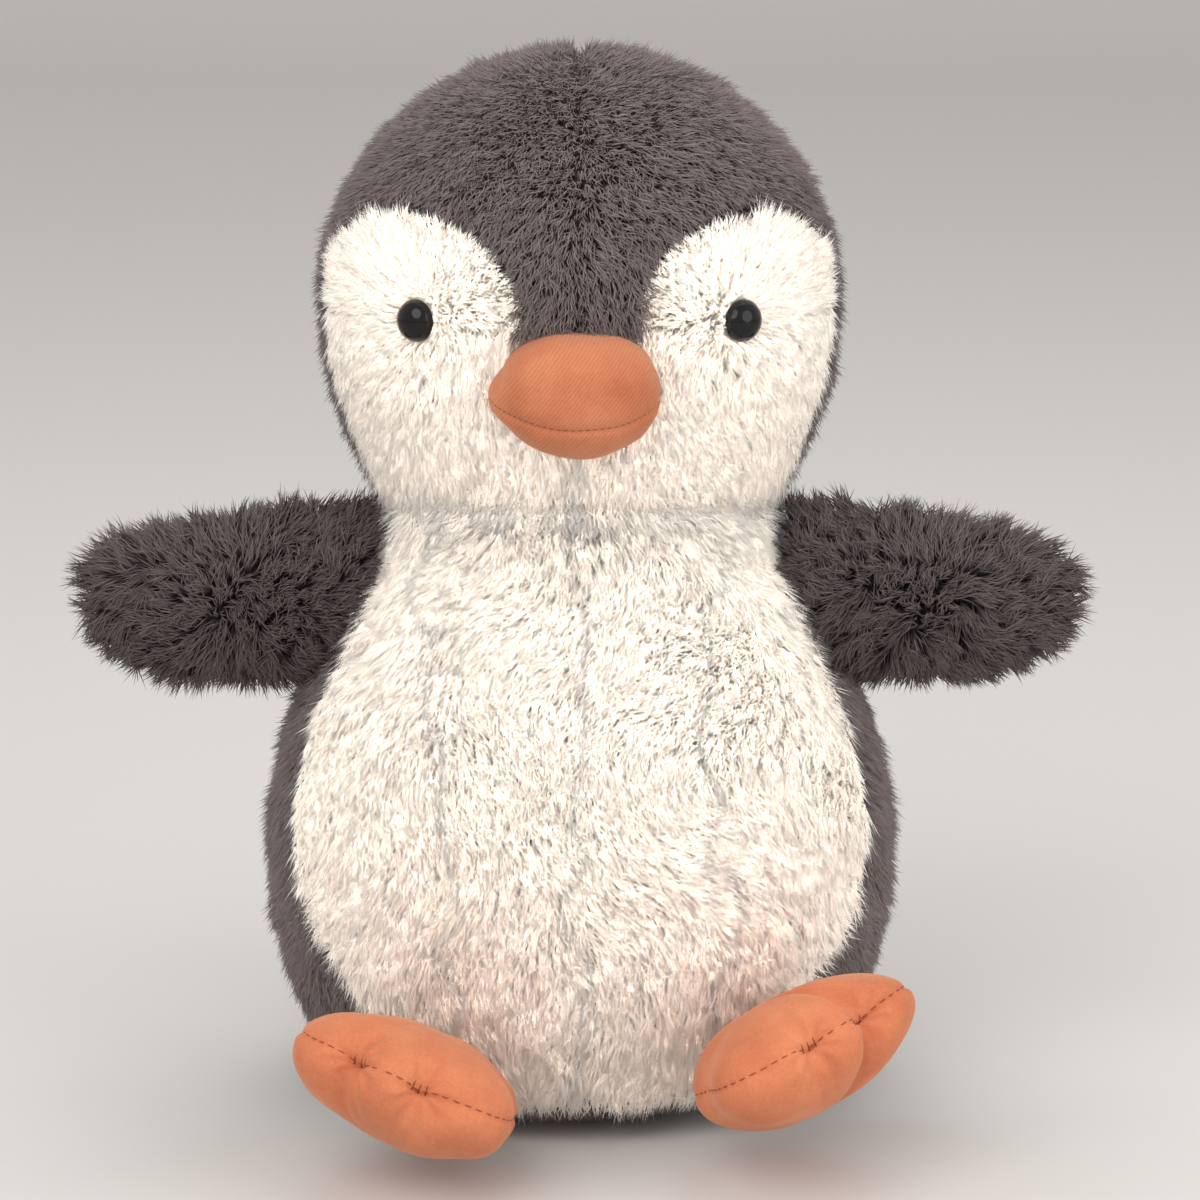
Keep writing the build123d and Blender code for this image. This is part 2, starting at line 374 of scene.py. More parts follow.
def tube(path, radius, sides=6):
    """Points and faces of a closed thread along a path, thinner at its two ends."""
    path = np.asarray(path)
    ahead = unit(np.gradient(path, axis=0))
    no_path_this_way = [0.31, 0.17, 0.93]
    side = unit(np.cross(ahead, no_path_this_way))
    up = np.cross(ahead, side)
    count = len(path)
    size = np.full(count, radius)
    size[[0, -1]] *= 0.55
    points = []
    for k in range(sides):
        angle = 2 * pi * k / sides
        points.append(path + (side * cos(angle) + up * sin(angle)) * size[:, None])
    points = np.stack(points, 1).reshape(-1, 3)
    faces = []
    for i in range(count - 1):
        for k in range(sides):
            a, b = i * sides + k, i * sides + (k + 1) % sides
            faces.append((a, b, b + sides, a + sides))
    faces.append(tuple(reversed(range(sides))))
    faces.append(tuple((count - 1) * sides + k for k in range(sides)))
    return points, faces


def thread_piece(name, paths, body, *stands_for):
    """Several lengths of thread as one piece, in place of the CAD nodes that it sews."""
    points, faces, first = [], [], 0
    for path in paths:
        more, around = tube(path, thread_radius)
        points.append(more)
        faces += [tuple(i + first for i in face) for face in around]
        first += len(more)
    piece = make_piece(name, np.concatenate(points), faces, [THREAD])
    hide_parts(*stands_for)
    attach(piece, body)


def cover_piece(name, grid, materials, slot, fill, *stands_for):
    """A stuffed cover, in place of the CAD nodes that it is sewn from."""
    piece = closed_skin(name, grid, materials)
    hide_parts(*stands_for)
    return piece


def fibre_piece(name, grid, filling):
    """The fibre inside a cover, in place of its CAD filling."""
    piece = closed_skin(name, grid, [FIBRE])
    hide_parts(filling)
    return piece


class Panels:
    """The outer surface of several CAD panels, to measure from and to tell the panels apart."""

    def __init__(self, names):
        points, triangles, self.owner = [], [], []
        for name in names:
            mesh = nodes[name].data
            mesh.calc_loop_triangles()
            first = len(points)
            points += [v.co.copy() for v in mesh.vertices]
            triangles += [[first + i for i in t.vertices] for t in mesh.loop_triangles]
            self.owner += [name] * len(mesh.loop_triangles)
        self.tree = BVHTree.FromPolygons(points, triangles)

    def hit(self, origin, direction):
        place, _, index, _ = self.tree.ray_cast(Vector(origin), Vector(direction))
        return (np.array(place), self.owner[index]) if place else (None, "")

    def over(self, place, away):
        """The panel over each place of a skin; places on the middle seam count to a side of it."""
        start = place + away * 12 * MM  # well outside the panels
        start[:, 0] += np.where(np.abs(place[:, 0]) < 0.5 * MM, 0.6 * MM, 0)
        return np.array([self.hit(s, -a)[1] for s, a in zip(start, away)])


# ---- fur ----


def read_vectors(items, name):
    values = np.zeros(len(items) * 3)
    items.foreach_get(name, values)
    return values.reshape(-1, 3)


def scatter(piece, density, rng):
    """Random places spread evenly over a piece, with their normals."""
    mesh = piece.data
    mesh.calc_loop_triangles()
    corners = read_vectors(mesh.loop_triangles, "vertices").astype(int)
    points = read_vectors(mesh.vertices, "co")
    normals = read_vectors(mesh.vertices, "normal")
    a, b, c = (points[corners[:, i]] for i in range(3))
    area = np.linalg.norm(np.cross(b - a, c - a), axis=1) / 2
    count = int(area.sum() * density)
    chosen = rng.choice(len(corners), count, p=area / area.sum())
    r, s = np.sqrt(rng.random(count)), rng.random(count)
    weights = np.stack([1 - r, r * (1 - s), r * s], 1)[:, :, None]
    place = (points[corners[chosen]] * weights).sum(1)
    normal = unit((normals[corners[chosen]] * weights).sum(1))
    return place, normal


def flatten_on(normals, vectors):
    """The vectors' direction along the surface."""
    vectors = np.broadcast_to(vectors, normals.shape)
    return unit(vectors - (vectors * normals).sum(1, keepdims=True) * normals)


def turn_on(normals, vectors, angle):
    """The vectors turned about the normals."""
    angle = np.asarray(angle)[:, None]
    return vectors * np.cos(angle) + np.cross(normals, vectors) * np.sin(angle)


def tuft_centres(points, size, seed):
    """For each point, the nearest of the scattered clump centres, and a number that names the clump."""
    cell = np.floor(points / size).astype(np.int64)
    best = np.full(len(points), np.inf)
    centre = np.zeros_like(points)
    label = np.zeros(len(points))
    mixers = np.array([73856093, 19349663, 83492791])  # large primes: neighbouring cells get unlike keys
    for step in np.ndindex(3, 3, 3):
        near = cell + np.array(step) - 1
        key = near @ mixers + seed * 7919
        jitter = [np.modf(np.abs(np.sin(key * w)) * 43758.5453)[0] for w in (0.1271, 0.3117, 0.7431)]
        jitter = np.stack(jitter, 1)
        spot = (near + jitter) * size
        far = np.linalg.norm(spot - points, axis=1)
        closer = far < best
        best[closer] = far[closer]
        centre[closer] = spot[closer]
        label[closer] = jitter[closer, 0]
    return centre, label


def tuft_lines(place, normal, comb, length, lean, style, rng):
    """Centre lines of the tufts: root, middle and tip, and the number of the clump each is in."""
    count = len(place)
    centre, label = tuft_centres(place, style["clump"], style["seed"])
    offset = centre - place
    offset -= (offset * normal).sum(1, keepdims=True) * normal
    pull = style["gather"] * rng.uniform(0.5, 1.1, count)[:, None]
    length = (length * rng.uniform(0.75, 1.1, count) * (0.86 + 0.28 * label))[:, None]
    comb = turn_on(normal, comb, style["stray"] * rng.normal(size=count) + style["locks"] * (label - 0.5))
    lean = (lean + 0.14 * rng.normal(size=count))[:, None]
    rise = normal * np.cos(lean) + comb * np.sin(lean)
    first = normal * np.cos(lean * 0.5) + comb * np.sin(lean * 0.5)
    curl = np.cross(normal, comb) * style["curl"] * rng.normal(size=(count, 1))
    lines = [place - normal * 0.3 * MM]  # rooted just under the cloth
    lines.append(place + first * length * 0.5 + offset * pull * 0.45)
    lines.append(place + (first * 0.42 + rise * 0.58 + curl) * length + offset * pull)
    return np.stack(lines, 1), label


def push_out(points, centre, axes, sizes):
    """Move the points that are inside an ellipsoid onto it."""
    local = (points - centre) @ axes / sizes
    inside = np.linalg.norm(local, axis=-1, keepdims=True)
    moved = local / np.clip(inside, 1e-6, 1)
    return centre + (moved * sizes) @ axes.T


# A tuft is a bent three-sided spike: corners 0-2 at the root, 3-5 half way, and 6 at the tip.
TUFT_FACES = np.array([
    (0, 2, 1),
    (0, 1, 4), (0, 4, 3), (1, 2, 5), (1, 5, 4), (2, 0, 3), (2, 3, 5),
    (3, 4, 6), (4, 5, 6), (5, 3, 6),
])
TUFT_POINTS = 7
TUFT_ALONG = np.array([0.02] * 3 + [0.5] * 3 + [0.98])  # each corner's place on the map, from root to tip
TUFT_STRIP = np.array([0, 0.006, 0.012] * 2 + [0.006])  # and across the tuft's own narrow strip of it
middle_width = 0.8  # of a tuft half way up, as a share of its root's width


def tuft_mesh(name, lines, normal, label, style, rng):
    """Three-sided tapering tufts along the lines, with their own compact map."""
    count = len(lines)
    ahead = unit(lines[:, 1:] - lines[:, :-1])
    away = unit(rng.normal(size=(count, 1, 3)))
    side = unit(np.cross(ahead, away))
    up = np.cross(ahead, side)
    spokes = [side * cos(angle) + up * sin(angle) for angle in (0, 2 * pi / 3, 4 * pi / 3)]
    spokes = np.stack(spokes, 2)
    root_width = style["width"] * rng.uniform(0.75, 1.25, count)
    wide = root_width[:, None, None, None] * np.array([1.0, middle_width])[None, :, None, None]
    rings = (lines[:, :2, None] + spokes * wide).reshape(count, 6, 3)
    points = np.concatenate([rings, lines[:, 2:]], 1).reshape(-1, 3)

    first = TUFT_POINTS * np.arange(count)
    faces = (TUFT_FACES[None] + first[:, None, None]).reshape(-1, 3)
    mesh = bpy.data.meshes.new(name)
    mesh.vertices.add(len(points))
    mesh.vertices.foreach_set("co", points.astype(np.float32).ravel())
    mesh.loops.add(faces.size)
    mesh.loops.foreach_set("vertex_index", faces.astype(np.int32).ravel())
    mesh.polygons.add(len(faces))
    mesh.polygons.foreach_set("loop_start", np.arange(0, faces.size, 3, dtype=np.int32))
    mesh.polygons.foreach_set("use_smooth", np.ones(len(faces), bool))
    mesh.update(calc_edges=True)

    own = np.clip(0.5 * label + 0.5 * rng.random(count), 0, 0.985)
    u = np.broadcast_to(TUFT_ALONG, (count, TUFT_POINTS)).ravel()
    v = (own[:, None] + TUFT_STRIP[None]).ravel()
    layer = mesh.uv_layers.new(name="OFBake")
    layer.data.foreach_set("uv", np.stack([u, v], 1)[faces.ravel()].astype(np.float32).ravel())

    own_normal = np.concatenate([spokes.reshape(count, 6, 3), ahead[:, 1:]], 1)
    soft = unit(own_normal * (1 - style["soften"]) + normal[:, None] * style["soften"])
    mesh.normals_split_custom_set_from_vertices(soft.reshape(-1, 3))
    mesh.materials.append(style["material"])
    return add_object(name, mesh)


most_tufts = 19900  # in one piece: at ten faces a tuft, every piece stays under 200,000 faces


def grow(name, place, normal, comb, length, lean, style, shape=None):
    """Fur pieces over the given places; shape may move the tufts' lines."""
    rng = np.random.default_rng(sum(map(ord, name)))
    lines, label = tuft_lines(place, normal, comb, length, lean, style, rng)
    if shape:
        lines = shape(lines)
    wavy_edges = 5 * MM * waves(place, 18 * MM, 71)  # between pieces that lie side by side
    order = np.argsort(place[:, 0] + wavy_edges)
    chunks = np.array_split(order, max(1, -(-len(order) // most_tufts)))
    pieces = []
    for number, chunk in enumerate(chunks, 1):
        title = f"{name}_fur" if len(chunks) == 1 else f"{name}_fur_{number}"
        pieces.append(tuft_mesh(title, lines[chunk], normal[chunk], label[chunk], style, rng))
    return pieces


# Kinds of pile. The tips gather to the middles of clumps of the given size, tufts stray from the comb,
# whole clumps turn from it as locks, and soften is the share of the cloth's normal in the shading.
SHORT_PILE = {
    "clump": 1.9 * MM, "gather": 0.62, "stray": 0.3, "locks": 0.6, "curl": 0.10,
    "width": 0.20 * MM, "soften": 0.45, "seed": 3, "material": DARK_FUR,
}
WHITE_PILE = {
    "clump": 1.9 * MM, "gather": 0.35, "stray": 0.3, "locks": 0.5, "curl": 0.12,
    "width": 0.21 * MM, "soften": 0.85, "seed": 5, "material": WHITE_FUR,
}
LONG_PILE = {
    "clump": 2.6 * MM, "gather": 0.74, "stray": 0.2, "locks": 1.7, "curl": 0.12,
    "width": 0.27 * MM, "soften": 0.4, "seed": 7, "material": WING_FUR,
}
density = 3.6e6  # tufts in a square metre


def grow_panel(name, place, normal, comb, length, lean, shape, follow):
    """The white or dark pile of one panel, given the same follow step as the panel's cover."""
    white = name in WHITE
    style = WHITE_PILE if white else SHORT_PILE
    for piece in grow(name, place, normal, comb, length, lean, style, shape):
        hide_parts(name)
        follow(piece)


# ---- body ----


def body_grid(panels, rows, columns):
    """Points on the body's panels, from the base up to the collar inside the head."""
    lowest = 0.4 * MM
    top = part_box("belly_panel")[1][2] - 0.2 * MM
    closer_at_base = 1.15
    heights = lowest + (top - lowest) * np.linspace(0, 1, rows) ** closer_at_base
    angles = turns(columns)
    outward = np.stack([np.cos(angles), np.sin(angles), np.zeros(columns)], 1)
    grid = np.zeros((rows, columns, 3))
    for i, z in enumerate(heights):
        for k, out in enumerate(outward):
            outside = np.array([0, axis_y, z]) + out * 300 * MM
            grid[i, k] = panels.hit(outside, -out)[0]
    return grid


def colour_faces(piece, owner_of):
    """Give the skin under white panels the white backing, which is its second material."""
    faces = piece.data.polygons
    centres = np.array([face.center for face in faces])
    normals = np.array([face.normal for face in faces])
    for face, owner in zip(faces, owner_of(centres, normals)):
        face.material_index = int(owner in WHITE)


def follow_neck(piece):
    """Bake a body piece's placement into its points."""
    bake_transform(piece)


def follow_head(piece):
    """Bake a head piece's placement into its points."""
    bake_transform(piece)


def make_body():
    panels = Panels(BODY_PANELS)
    outer = smooth_grid(body_grid(panels, 90, 160), 6)
    by_foot = bell(outer[:, :, 2:], 18 * MM)  # the cloth is less deep over the filling's round foot
    depth = pile_depth - 1.2 * MM * by_foot
    inner = outer - grid_normals(outer) * depth
    inner[:, :, 2] = np.maximum(inner[:, :, 2], 1.8 * MM)
    skin = cover_piece("body_skin", inner, [DARK_CLOTH, WHITE_CLOTH], "dark_plush", 0.75, *BODY_PANELS)
    colour_faces(skin, panels.over)
    follow_neck(skin)
    within = smooth_grid(inner - grid_normals(outer) * 1.5 * MM, 2)
    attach(fibre_piece("body_fibre", within, "body_filling"), "torso")

    place, normal = scatter(skin, density * 1.2, np.random.default_rng(11))
    outside = place[:, 2] < neck_seam_z + 3 * MM
    place, normal = place[outside], normal[outside]
    owner = panels.over(place, normal)
    for name in BODY_PANELS:
        mine = owner == name
        if name == "base_panel":
            mine[::2] = False  # thinner where it lies on the floor
        grow_body_panel(name, place[mine], normal[mine])


def keep_off_floor(lines):
    lines[:, :, 2] = np.maximum(lines[:, :, 2], floor_gap)
    return lines


def body_comb(white, place, normal):
    """The body's pile lies downwards with swirls, and over the belly's edge by the wings."""
    comb = flatten_on(normal, np.array([0, -0.15, -1.0]))
    swirl = 0.9 * waves(place, 60 * MM, 21) + 0.5 * waves(place, 22 * MM, 22)
    comb = turn_on(normal, comb, swirl * (1.0 if white else 0.5))
    if not white:
        wing_height = 118 * MM
        by_wing = bell(place[:, 2] - wing_height, 20 * MM) * (place[:, 1] < axis_y)
        level = np.zeros(len(place))
        inward = flatten_on(normal, np.stack([-np.sign(place[:, 0]), level - 1, level], 1))
        comb = unit(comb + 1.6 * by_wing[:, None] * inward)
    return comb


def grow_body_panel(name, place, normal):
    """The pile of one body panel, which stands up and is longer at the neck."""
    white = name in WHITE
    comb = body_comb(white, place, normal)
    neck = bell(place[:, 2] - neck_seam_z, 7 * MM)
    usual_lean, lean_change = (1.08, 0.06) if white else (0.95, 0.2)
    lean = usual_lean + lean_change * waves(place, 15 * MM, 23) - 0.3 * neck
    usual_length = (7.4 if white else 6.8) * MM
    length = usual_length * (1 + 0.12 * waves(place, 12 * MM, 24)) + 1.5 * MM * neck
    if name == "base_panel":
        length = length * 0.6
        lean = lean + 0.25
    grow_panel(name, place, normal, comb, length, lean, keep_off_floor, follow_neck)


# ---- head ----


def head_grid(inset, rows, columns):
    """From the top of the hollow underside, out to its rim at the neck, and up to the crown."""
    half_width = head_half_width - inset
    half_depth = head_half_depth - inset
    drop = head_drop - inset
    rise = head_rise - inset
    rim_tilt = np.arcsin((neck_seam_z - head_centre[2]) / drop)
    cup_edge = np.arccos((neck_seam_z - neck_pivot[2]) / cup_radius)
    angle = turns(columns)
    grid = []
    for share in np.linspace(0.04, 1, rows // 4):
        radius = cup_radius * np.sin(cup_edge * share)
        level = np.full(columns, neck_pivot[2] + cup_radius * np.cos(cup_edge * share))
        grid.append(np.stack([radius * np.cos(angle), axis_y + radius * np.sin(angle), level], 1))
    for tilt in np.linspace(rim_tilt, pi / 2 - 0.02, rows):
        x = half_width * cos(tilt) * np.cos(angle)
        y = axis_y + half_depth * cos(tilt) * np.sin(angle)
        z = np.full(columns, head_centre[2] + (rise if tilt > 0 else drop) * sin(tilt))
        hollow = np.sqrt(np.maximum(cup_radius**2 - (z - neck_pivot[2]) ** 2, 0)) + 1.2 * MM
        wider = np.maximum(1, hollow / np.hypot(x, y - axis_y))  # keeps the rim round the hollow
        grid.append(np.stack([x * wider, axis_y + (y - axis_y) * wider, z], 1))
    return np.array(grid)


def make_head():
    panels = Panels(HEAD_PANELS)

    def owner_of(place, _):
        """The panel over each place, seen from the head's middle; the rim is under the panel above it."""
        raised = place.copy()
        raised[:, 2] = np.maximum(raised[:, 2], neck_seam_z + 6 * MM)
        return panels.over(raised, unit(raised - head_centre))

    grid = head_grid(pile_depth, 100, 180)
    skin = cover_piece("head_skin", grid, [DARK_CLOTH, WHITE_CLOTH], "white_plush", 0.85, *HEAD_PANELS)
    colour_faces(skin, owner_of)
    follow_head(skin)

    place, normal = scatter(skin, density * 1.45, np.random.default_rng(12))
    outside = np.linalg.norm(place - neck_pivot, axis=1) > cup_radius + 0.8 * MM
    place, normal = place[outside], normal[outside]
    owner = owner_of(place, normal)
    for name in HEAD_PANELS:
        mine = owner == name
        if name not in WHITE:
            mine[::5] = False  # the dark pile hides its backing with fewer tufts
        grow_head_panel(name, place[mine], normal[mine])


beak_size = np.array([16.6, 15.5, 12.9]) * MM
beak_centre = head_centre + np.array([0, -50, -13]) * MM
beak_slope = radians(20)
eye_radius = 4.5 * MM
eye_depth = 4.5 * MM  # the eye's flange lies this far under the tips of the pile
eye_across = 36.5 * MM
eye_up = 0.5 * MM  # over the head's middle
lobe_centre = np.array([36, -1]) * MM  # of the white cheek's round top: aside and up from the head's middle
lobe_size = np.array([22, 23]) * MM


def eye_axes(side):
    """The middle of an eye's flange, and its axes with the last one outward."""
    x = side * eye_across
    sizes = np.array([head_half_width, head_half_depth, head_rise])
    y = -head_half_depth * np.sqrt(1 - (x / sizes[0]) ** 2 - (eye_up / sizes[2]) ** 2)
    on_head = np.array([x, y, eye_up])
    out = unit(on_head / sizes**2)
    across = unit(np.cross([0, 0, 1.0], out))
    axes = np.stack([across, np.cross(out, across), out], 1)
    return head_centre + on_head - out * eye_depth, axes


def over_beak(lines):
    """Lay the tufts over the beak's edge instead of through it."""
    return push_out(lines, beak_centre, np.eye(3), beak_size + 0.2 * MM)


def clear_of_face(place, tip):
    """Which tufts neither start in the beak nor reach over an eye."""
    clear = np.linalg.norm((place - beak_centre) / beak_size, axis=1) > 1
    for side, _ in SIDES:
        centre, axes = eye_axes(side)
        for points, free in ((place, eye_radius), (tip, eye_radius - 0.5 * MM)):
            local = (points - centre) @ axes
            aside = np.linalg.norm(local[:, :2], axis=1)
            behind = local[:, 2] < -head_half_depth / 2
            clear &= (aside > free) | behind
    return clear


def on_cheek(points):
    """How far out the points are from the middle of the white cheek's round top: 1 at its edge."""
    flat = np.stack([np.abs(points[:, 0]), points[:, 2] - head_centre[2]], 1)
    return np.linalg.norm((flat - lobe_centre) / lobe_size, axis=1)


def grow_head_panel(name, place, normal):
    """The pile of one head panel, shorter where it would hide the cheek's edge."""
    white = name in WHITE
    side = 1 if name.endswith("left") else -1
    comb, lean, length = (white_comb if white else dark_comb)(side, place, normal)
    comb = turn_on(normal, comb, 0.35 * waves(place, 30 * MM, 41))
    tip = place + (normal * np.cos(lean)[:, None] + comb * np.sin(lean)[:, None]) * length[:, None]
    if white:
        inner_edge = (np.abs(tip[:, 0]) < lobe_centre[0]) & (tip[:, 2] > head_centre[2] - 8 * MM)
        length = np.where((on_cheek(tip) > 1.03) & inner_edge, 0.6 * length, length)
    else:
        in_front = tip[:, 1] < axis_y - 8 * MM
        length = np.where((on_cheek(tip) < 1.0) & in_front, 0.35 * length, length)
    free = clear_of_face(place, tip)
    rows = (values[free] for values in (place, normal, comb, length, lean))
    grow_panel(name, *rows, over_beak, follow_head)


def white_comb(side, place, normal):
    """White pile spreads from the eye over the cheek, and falls longer to the chin."""
    eye, axes = eye_axes(side)
    from_eye = place - eye
    in_plane = np.linalg.norm(from_eye @ axes[:, :2], axis=1)
    radial = flatten_on(normal, from_eye)
    outward = side * 0.35 * np.clip(np.abs(place[:, 0]) / (12 * MM), 0, 1)
    level = np.zeros(len(place))
    down = flatten_on(normal, np.stack([outward, level - 0.1, level - 1.0], 1))
    near = np.clip(1.5 - in_plane / (14 * MM), 0, 1)[:, None]
    over = (place[:, 2:3] > eye[2]).astype(float)
    under = 1 - over
    spreading = radial * (over + under * (0.3 + 0.5 * near))
    falling = down * (0.1 + 0.8 * under * (1 - near))
    comb = unit(spreading + falling)
    lean = np.interp(in_plane, [5 * MM, 9 * MM], [0.8, 1.12]) + 0.06 * waves(place, 15 * MM, 43)
    length = np.interp(in_plane, [4 * MM, 8 * MM, 15 * MM], [4.8 * MM, 5.6 * MM, 6.8 * MM])
    chin_top = 150 * MM
    chin = np.clip((chin_top - place[:, 2]) / (14 * MM), 0, 1)
    return comb, lean, length + 3.6 * MM * chin


def dark_comb(side, place, normal):
    """Dark pile lies forward and down, shorter along the middle seam."""
    comb = flatten_on(normal, np.array([side * 0.25, -0.75, -1.0]))
    lean = 0.85 + 0.2 * waves(place, 11 * MM, 43)
    length = 6.4 * MM * (1 + 0.1 * waves(place, 7 * MM, 44))
    seam = np.abs(place[:, 0]) < 0.9 * MM
    return comb, lean, np.where(seam, 0.65 * length, length)


# ---- wings ----

# A wing's cloth paddle from its root inside the body to its tip, along the wing from the pivot: distance,
# half height, half thickness and height of the middle.
WING_SECTIONS = np.array([
    (-25, 14.5, 4.4, 0.5),
    (-8, 15.0, 5.0, -1.0),
    (4, 14.0, 5.4, -2.2),
    (14, 13.2, 5.2, -3.0),
    (24, 11.6, 4.4, -2.6),
    (31, 8.6, 3.2, -2.0),
    (34, 4.0, 1.6, -1.6),
]) * MM
sleeve_end = -8 * MM  # the sleeve ends here, and the paddle begins


def wing_grid(start, end, rows, columns, inset=0.0):
    """A stretch of the wing's cloth along +X about its pivot, with its broad faces to front and back."""
    along, *shape = WING_SECTIONS.T
    angle = turns(columns)
    grid = []
    for x in np.linspace(start, end - inset, rows):
        height, thick, middle = (np.interp(x, along, values) for values in shape)
        y = -(thick - inset) * np.sin(angle)
        z = middle + (height - inset) * np.cos(angle)
        grid.append(np.stack([np.full(columns, x), y, z], 1))
    return np.array(grid)


def place_wing(grid, side, pivot):
    """Mirror for the right side, and move to the pivot."""
    if side < 0:
        grid = grid[:, ::-1] * np.array([-1, 1, 1])
    return grid + pivot


def follow_swing(piece, name, side, pivot):
    """Bake a wing sleeve piece's placement into its points."""
    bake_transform(piece)


def follow_lift(piece, name, side, pivot):
    """Bake a wing paddle piece's placement into its points."""
    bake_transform(piece)


def make_wings():
    first, last = WING_SECTIONS[0, 0], WING_SECTIONS[-1, 0]
    for side, name in SIDES:
        pivot = np.array(joints[f"wing_{name}_swing"]["pos_m"])
        whole = smooth_grid(wing_grid(first, last, 70, 48), 6)
        cut = int(np.argmin(np.abs(whole[:, 0, 0] - sleeve_end)))
        faces = (f"wing_{name}_front", f"wing_{name}_back")
        parts = (("sleeve", whole[: cut + 1], follow_swing), ("paddle", whole[cut:], follow_lift))
        for part, grid, follow in parts:
            grid = place_wing(grid, side, pivot)
            skin = cover_piece(f"wing_{name}_{part}", grid, [DARK_CLOTH], "dark_plush", 0.6, *faces)
            follow(skin, name, side, pivot)
            grow_wing(name, part, skin, side, pivot, follow)
        stuffing = place_wing(smooth_grid(wing_grid(sleeve_end, last, 30, 32, 1 * MM), 3), side, pivot)
        fibre = fibre_piece(f"wing_{name}_fibre", stuffing, f"wing_{name}_filling")
        follow_lift(fibre, name, side, pivot)


def wing_comb(place, normal, whorl):
    """Shaggy pile spreads over the wing from a whorl near its middle, where it stands up."""
    out = (place - whorl) * np.array([1, 0.2, 1])
    away = np.linalg.norm(out, axis=1) / (16 * MM)
    tumbled = np.stack([waves(place, 13 * MM, seed) for seed in (64, 65, 66)], 1)
    comb = flatten_on(normal, unit(out) * np.clip(away, 0, 1)[:, None] + 0.55 * tumbled)
    lean = np.clip(0.35 + 0.5 * away, 0.4, 0.85) + 0.25 * waves(place, 10 * MM, 62)
    return comb, lean


def grow_wing(name, part, skin, side, pivot, follow):
    """The pile of a wing's sleeve or paddle, without the ends that close them inside."""
    place, normal = scatter(skin, density * 1.35, np.random.default_rng(13))
    from_root = (place[:, 0] - pivot[0]) * side + 23 * MM
    from_cut = (place[:, 0] - pivot[0]) * side - sleeve_end
    kept = (from_root > 0) & (np.abs(normal[:, 0]) < 0.98)
    kept &= from_cut < 0 if part == "sleeve" else from_cut > 0
    place, normal = place[kept], normal[kept]
    comb, lean = wing_comb(place, normal, pivot + np.array([side * 4, 0, -5]) * MM)
    length = 8.2 * MM * (1 + 0.12 * waves(place, 8 * MM, 63))
    for face, chosen in (("front", normal[:, 1] < 0), ("back", normal[:, 1] >= 0)):
        rows = (values[chosen] for values in (place, normal, comb, length, lean))
        for piece in grow(f"wing_{name}_{face}_{part}", *rows, LONG_PILE):
            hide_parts(f"wing_{name}_{face}")
            follow(piece, name, side, pivot)


# ---- feet ----

FOOT_CIRCLES = ((0, -15.5, 21.0), (13, -29, 12.0), (-13, -29, 12.0), (0, -32, 12.0))  # x, y, radius in mm
foot_middle = np.array([0, -18.0])
foot_thickness = 12.8
seam_tilt = 0.16  # the rim's seam lies a little above the middle, as an angle about the foot's middle
pinch_turn = 7.5 / 23.5  # the two threads pull the rim in at this angle to each side of the toes' middle
FOLDS = ((-1.75, 1.3), (-1.35, 0.8), (1.7, 0.6))  # from a pinch: direction and depth of each fold
foot_turn = {"left": (28.0, 26.0, -18.0), "right": (-16.0, 20.0, 18.0)}  # turned out, toes up, roll


def foot_reach(angle):
    """How far the foot's outline is from its middle, towards the toes at angle 0."""
    way = np.stack([np.sin(angle), -np.cos(angle)], -1)
    reach = np.zeros(len(angle))
    for x, y, radius in FOOT_CIRCLES:
        offset = np.array([x, y]) - foot_middle
        along = way @ offset
        aside = (offset @ offset) - along**2
        exit_at = along + np.sqrt(np.maximum(radius**2 - aside, 0))
        reach = np.maximum(reach, np.where(aside < radius**2, exit_at, 0))
    blur = 14  # steps to each side, which round the notches between the circles
    kernel = bell(np.arange(-blur, blur + 1), blur / 2)
    wrapped = np.concatenate([reach[-blur:], reach, reach[:blur]])
    return np.convolve(wrapped, kernel / kernel.sum(), "valid")


def foot_surface(name, inset=0.0, columns=240, rows=90):
    """The stuffed foot in its own frame, in millimetres."""
    angle = turns(columns)
    reach = foot_reach(angle) - inset
    tilt = rises(rows)
    x = foot_middle[0] + reach * np.sin(angle) * np.cos(tilt)
    y = foot_middle[1] - reach * np.cos(angle) * np.cos(tilt)
    z = (foot_thickness - inset) * np.sin(tilt) * np.ones(columns)
    grid = np.stack([x, y, z], -1)
    if inset:
        return grid
    push = foot_seam(name, angle, reach, tilt) + 0.35 * waves(grid, 14, 83)
    return grid + grid_normals(grid) * push[..., None]


def foot_seam(name, angle, reach, tilt):
    """How far the rim seam, the thread pinches and their folds push the cover out, in millimetres."""
    from_toes = (angle + pi) % (2 * pi) - pi
    from_rim = foot_thickness * (tilt - seam_tilt)
    groove = -0.55 * bell(from_rim, 0.8)
    puckers = 0.10 * np.sin(reach * angle * 1.35) * bell(from_rim, 3.0)
    push = groove + puckers
    for turn in (-1, 1):
        along_rim = reach * (from_toes - turn * pinch_turn)
        distance = np.hypot(along_rim, from_rim)
        bearing = np.arctan2(from_rim, along_rim)
        push = push - 1.8 * bell(distance, 2.4) - 1.1 * bell(distance, 7.0)  # a deep and a wide dimple
        push = push - 0.4 * np.cos(9 * bearing + turn) * bell(distance - 4.2, 3.2)  # creases round it
        for way, depth in FOLDS:
            slant = along_rim - np.cos(way) / np.sin(way) * from_rim
            same_side = np.sign(from_rim) == np.sign(way)
            push = push - depth * bell(slant, 1.5) * bell(distance - 5, 6.0) * same_side
        if turn == 1 and name == "left":  # the deep fold beside the left foot's outer toe
            push = push - 2.6 * bell(along_rim - 0.12 * from_rim, 3.0) * bell(distance - 6, 9.0)
    return push


